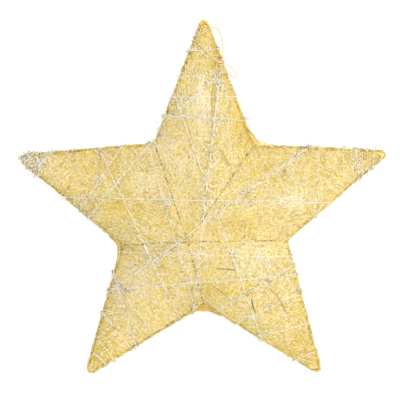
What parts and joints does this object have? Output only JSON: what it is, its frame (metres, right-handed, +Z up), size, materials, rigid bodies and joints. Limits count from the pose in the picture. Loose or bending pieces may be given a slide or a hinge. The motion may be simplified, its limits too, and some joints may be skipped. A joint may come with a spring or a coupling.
{
  "type": "star ornament",
  "caption": "Five-pointed hanging star of sisal fleece over a bent wire frame, puffed front and back, wound with silver tinsel thread.",
  "frame": {"origin": "on the outline wire at the tip of the top arm, where the hanging thread holds the star", "axes": "+Z up along the top arm, +X to the right as the front is seen, front face toward -Y"},
  "size_m": [0.4003, 0.0792, 0.3867],
  "materials": {
    "dark_wire": "dark annealed iron wire, dull",
    "sisal_fleece": "straw-yellow sisal fibre fleece, matte and hairy",
    "silver_tinsel": "silver-white metallised eyelash thread, glossy",
    "gold_thread": "thin peach-gold sewing cord, slightly shiny"
  },
  "bodies": {
    "root": {"outline_wire": "dark_wire", "front_cross_rib": "dark_wire", "front_long_rib": "dark_wire", "front_short_rib": "dark_wire", "back_cross_rib": "dark_wire", "back_long_rib": "dark_wire", "back_short_rib": "dark_wire", "front_fleece": "sisal_fleece", "back_fleece": "sisal_fleece", "tinsel_thread": "silver_tinsel", "hanging_cord": "gold_thread"}
  },
  "joints": []
}
